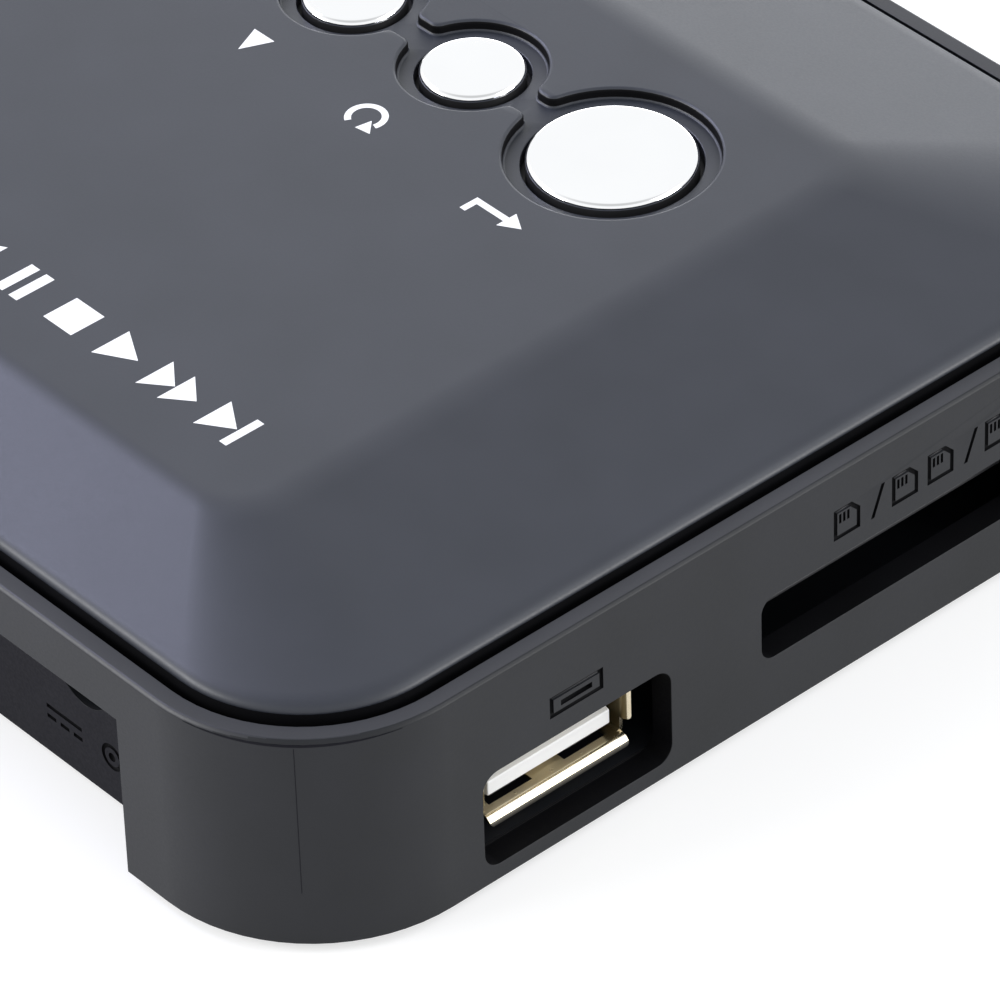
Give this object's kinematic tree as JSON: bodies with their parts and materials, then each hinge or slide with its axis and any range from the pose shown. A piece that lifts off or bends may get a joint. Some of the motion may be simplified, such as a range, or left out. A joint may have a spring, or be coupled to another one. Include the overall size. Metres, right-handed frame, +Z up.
{
  "type": "media player",
  "caption": "Low rounded black box media player with a sloped cover, a row of round plated keys, a USB port and card slot on one flank and a recessed rear port panel.",
  "frame": {"origin": "centre of the footprint, on the plane that the feet stand on", "axes": "+X along the width, away from the USB and card flank; +Y to the rear port panel; +Z up"},
  "size_m": [0.1226, 0.0906, 0.0228],
  "materials": {
    "housing_plastic": "satin black moulded ABS",
    "cover_plastic": "soft satin black moulded ABS",
    "guide_plastic": "plain black moulding",
    "board_laminate": "green solder mask on glass laminate",
    "nickel_sheet": "nickel-plated folded sheet",
    "white_insulator": "white moulded insulator",
    "black_insulator": "black moulded insulator",
    "gold_contact": "gold-plated spring contact",
    "nickel_pin": "nickel-plated brass",
    "chip_resin": "black moulded resin",
    "pad_rubber": "grey silicone pad",
    "sink_aluminium": "extruded, clear anodised",
    "crystal_can": "drawn can",
    "capacitor_can": "drawn can",
    "ferrite": "pressed ferrite",
    "smoked_window": "dark smoked clear plastic",
    "receiver_resin": "dark clear resin",
    "lamp_resin": "clear resin",
    "screw_steel": "blackened zinc-plated steel",
    "key_plating": "bright chrome plating on ABS",
    "plunger_plastic": "black moulding",
    "switch_plastic": "black moulding",
    "foot_rubber": "soft black rubber"
  },
  "bodies": {
    "case": {"lower_housing": "housing_plastic", "top_cover": "cover_plastic", "key_guide": "guide_plastic", "main_board": "board_laminate", "usb_shell": "nickel_sheet", "usb_tongue": "white_insulator", "usb_contacts": "gold_contact", "card_socket_base": "black_insulator", "card_socket_cover": "nickel_sheet", "card_contacts": "gold_contact", "dc_jack_body": "black_insulator", "dc_jack_pin": "nickel_pin", "av_jack_body": "black_insulator", "av_jack_ferrule": "nickel_pin", "video_shell": "nickel_sheet", "video_tongue": "black_insulator", "media_processor": "chip_resin", "thermal_pad": "pad_rubber", "heat_sink": "sink_aluminium", "memory_chips": "chip_resin", "flash_chip": "chip_resin", "crystal": "crystal_can", "capacitors": "capacitor_can", "inductors": "ferrite", "ir_window": "smoked_window", "ir_receiver": "receiver_resin", "status_lamp": "lamp_resin", "cover_screws": "screw_steel", "board_screws": "screw_steel", "ok_switch": "switch_plastic", "ok_switch_cover": "nickel_sheet", "return_switch": "switch_plastic", "return_switch_cover": "nickel_sheet", "up_switch": "switch_plastic", "up_switch_cover": "nickel_sheet", "down_switch": "switch_plastic", "down_switch_cover": "nickel_sheet", "power_switch": "switch_plastic", "power_switch_cover": "nickel_sheet", "foot_front_left": "foot_rubber", "foot_front_right": "foot_rubber", "foot_rear_left": "foot_rubber", "foot_rear_right": "foot_rubber"},
    "ok_button": {"ok_key": "key_plating", "ok_plunger": "plunger_plastic"},
    "return_button": {"return_key": "key_plating", "return_plunger": "plunger_plastic"},
    "up_button": {"up_key": "key_plating", "up_plunger": "plunger_plastic"},
    "down_button": {"down_key": "key_plating", "down_plunger": "plunger_plastic"},
    "power_button": {"power_key": "key_plating", "power_plunger": "plunger_plastic"}
  },
  "joints": [
    {"name": "ok_press", "type": "slide", "parent": "case", "child": "ok_button", "axis": [0, 0, -1], "range_m": [0, 0.0005], "stiffness_N_per_m": 400, "springref_m": -0.001},
    {"name": "return_press", "type": "slide", "parent": "case", "child": "return_button", "axis": [0, 0, -1], "range_m": [0, 0.0005], "stiffness_N_per_m": 400, "springref_m": -0.001},
    {"name": "up_press", "type": "slide", "parent": "case", "child": "up_button", "axis": [0, 0, -1], "range_m": [0, 0.0005], "stiffness_N_per_m": 400, "springref_m": -0.001},
    {"name": "down_press", "type": "slide", "parent": "case", "child": "down_button", "axis": [0, 0, -1], "range_m": [0, 0.0005], "stiffness_N_per_m": 400, "springref_m": -0.001},
    {"name": "power_press", "type": "slide", "parent": "case", "child": "power_button", "axis": [0, 0, -1], "range_m": [0, 0.0005], "stiffness_N_per_m": 400, "springref_m": -0.001}
  ]
}
